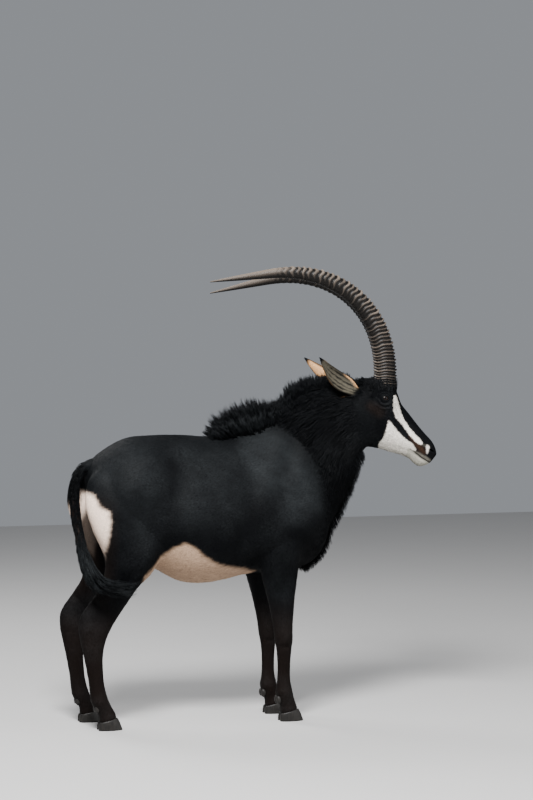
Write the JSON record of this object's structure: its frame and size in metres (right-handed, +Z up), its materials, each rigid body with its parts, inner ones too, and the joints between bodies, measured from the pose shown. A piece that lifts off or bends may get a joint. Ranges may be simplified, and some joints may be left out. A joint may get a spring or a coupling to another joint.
{
  "type": "sable antelope bull, standing display model",
  "caption": "Life-size standing sable antelope bull with long ringed horns swept back in an arc, a standing mane, a bearded throat and a tufted tail.",
  "frame": {"origin": "on the floor, at the bottom centre of the whole animal's box", "axes": "+X the way the body faces, +Y the animal's left, +Z up; the head is turned a little to its right"},
  "size_m": [1.7282, 0.5998, 2.0841],
  "materials": {
    "coat": "short glossy black hair with white belly, rump and face marks",
    "ear": "short tan hair with a dark tip and a pale inside",
    "horn": "ridged grey-brown horn, satin and smooth at the tips",
    "hoof": "dark satin horn",
    "eye": "wet dark brown"
  },
  "bodies": {
    "root": {"ear_left": "ear", "ear_right": "ear", "eye_left": "eye", "eye_right": "eye", "foreleg_left_cannon": "coat", "foreleg_left_foot": "coat", "foreleg_left_hoof_inner": "hoof", "foreleg_left_hoof_outer": "hoof", "foreleg_left_upper": "coat", "foreleg_right_cannon": "coat", "foreleg_right_foot": "coat", "foreleg_right_hoof_inner": "hoof", "foreleg_right_hoof_outer": "hoof", "foreleg_right_upper": "coat", "head": "coat", "hindleg_left_cannon": "coat", "hindleg_left_foot": "coat", "hindleg_left_hoof_inner": "hoof", "hindleg_left_hoof_outer": "hoof", "hindleg_left_upper": "coat", "hindleg_right_cannon": "coat", "hindleg_right_foot": "coat", "hindleg_right_hoof_inner": "hoof", "hindleg_right_hoof_outer": "hoof", "hindleg_right_upper": "coat", "horn_left": "horn", "horn_right": "horn", "neck": "coat", "tail_dock": "coat", "tail_tuft": "coat", "torso": "coat"}
  },
  "joints": []
}
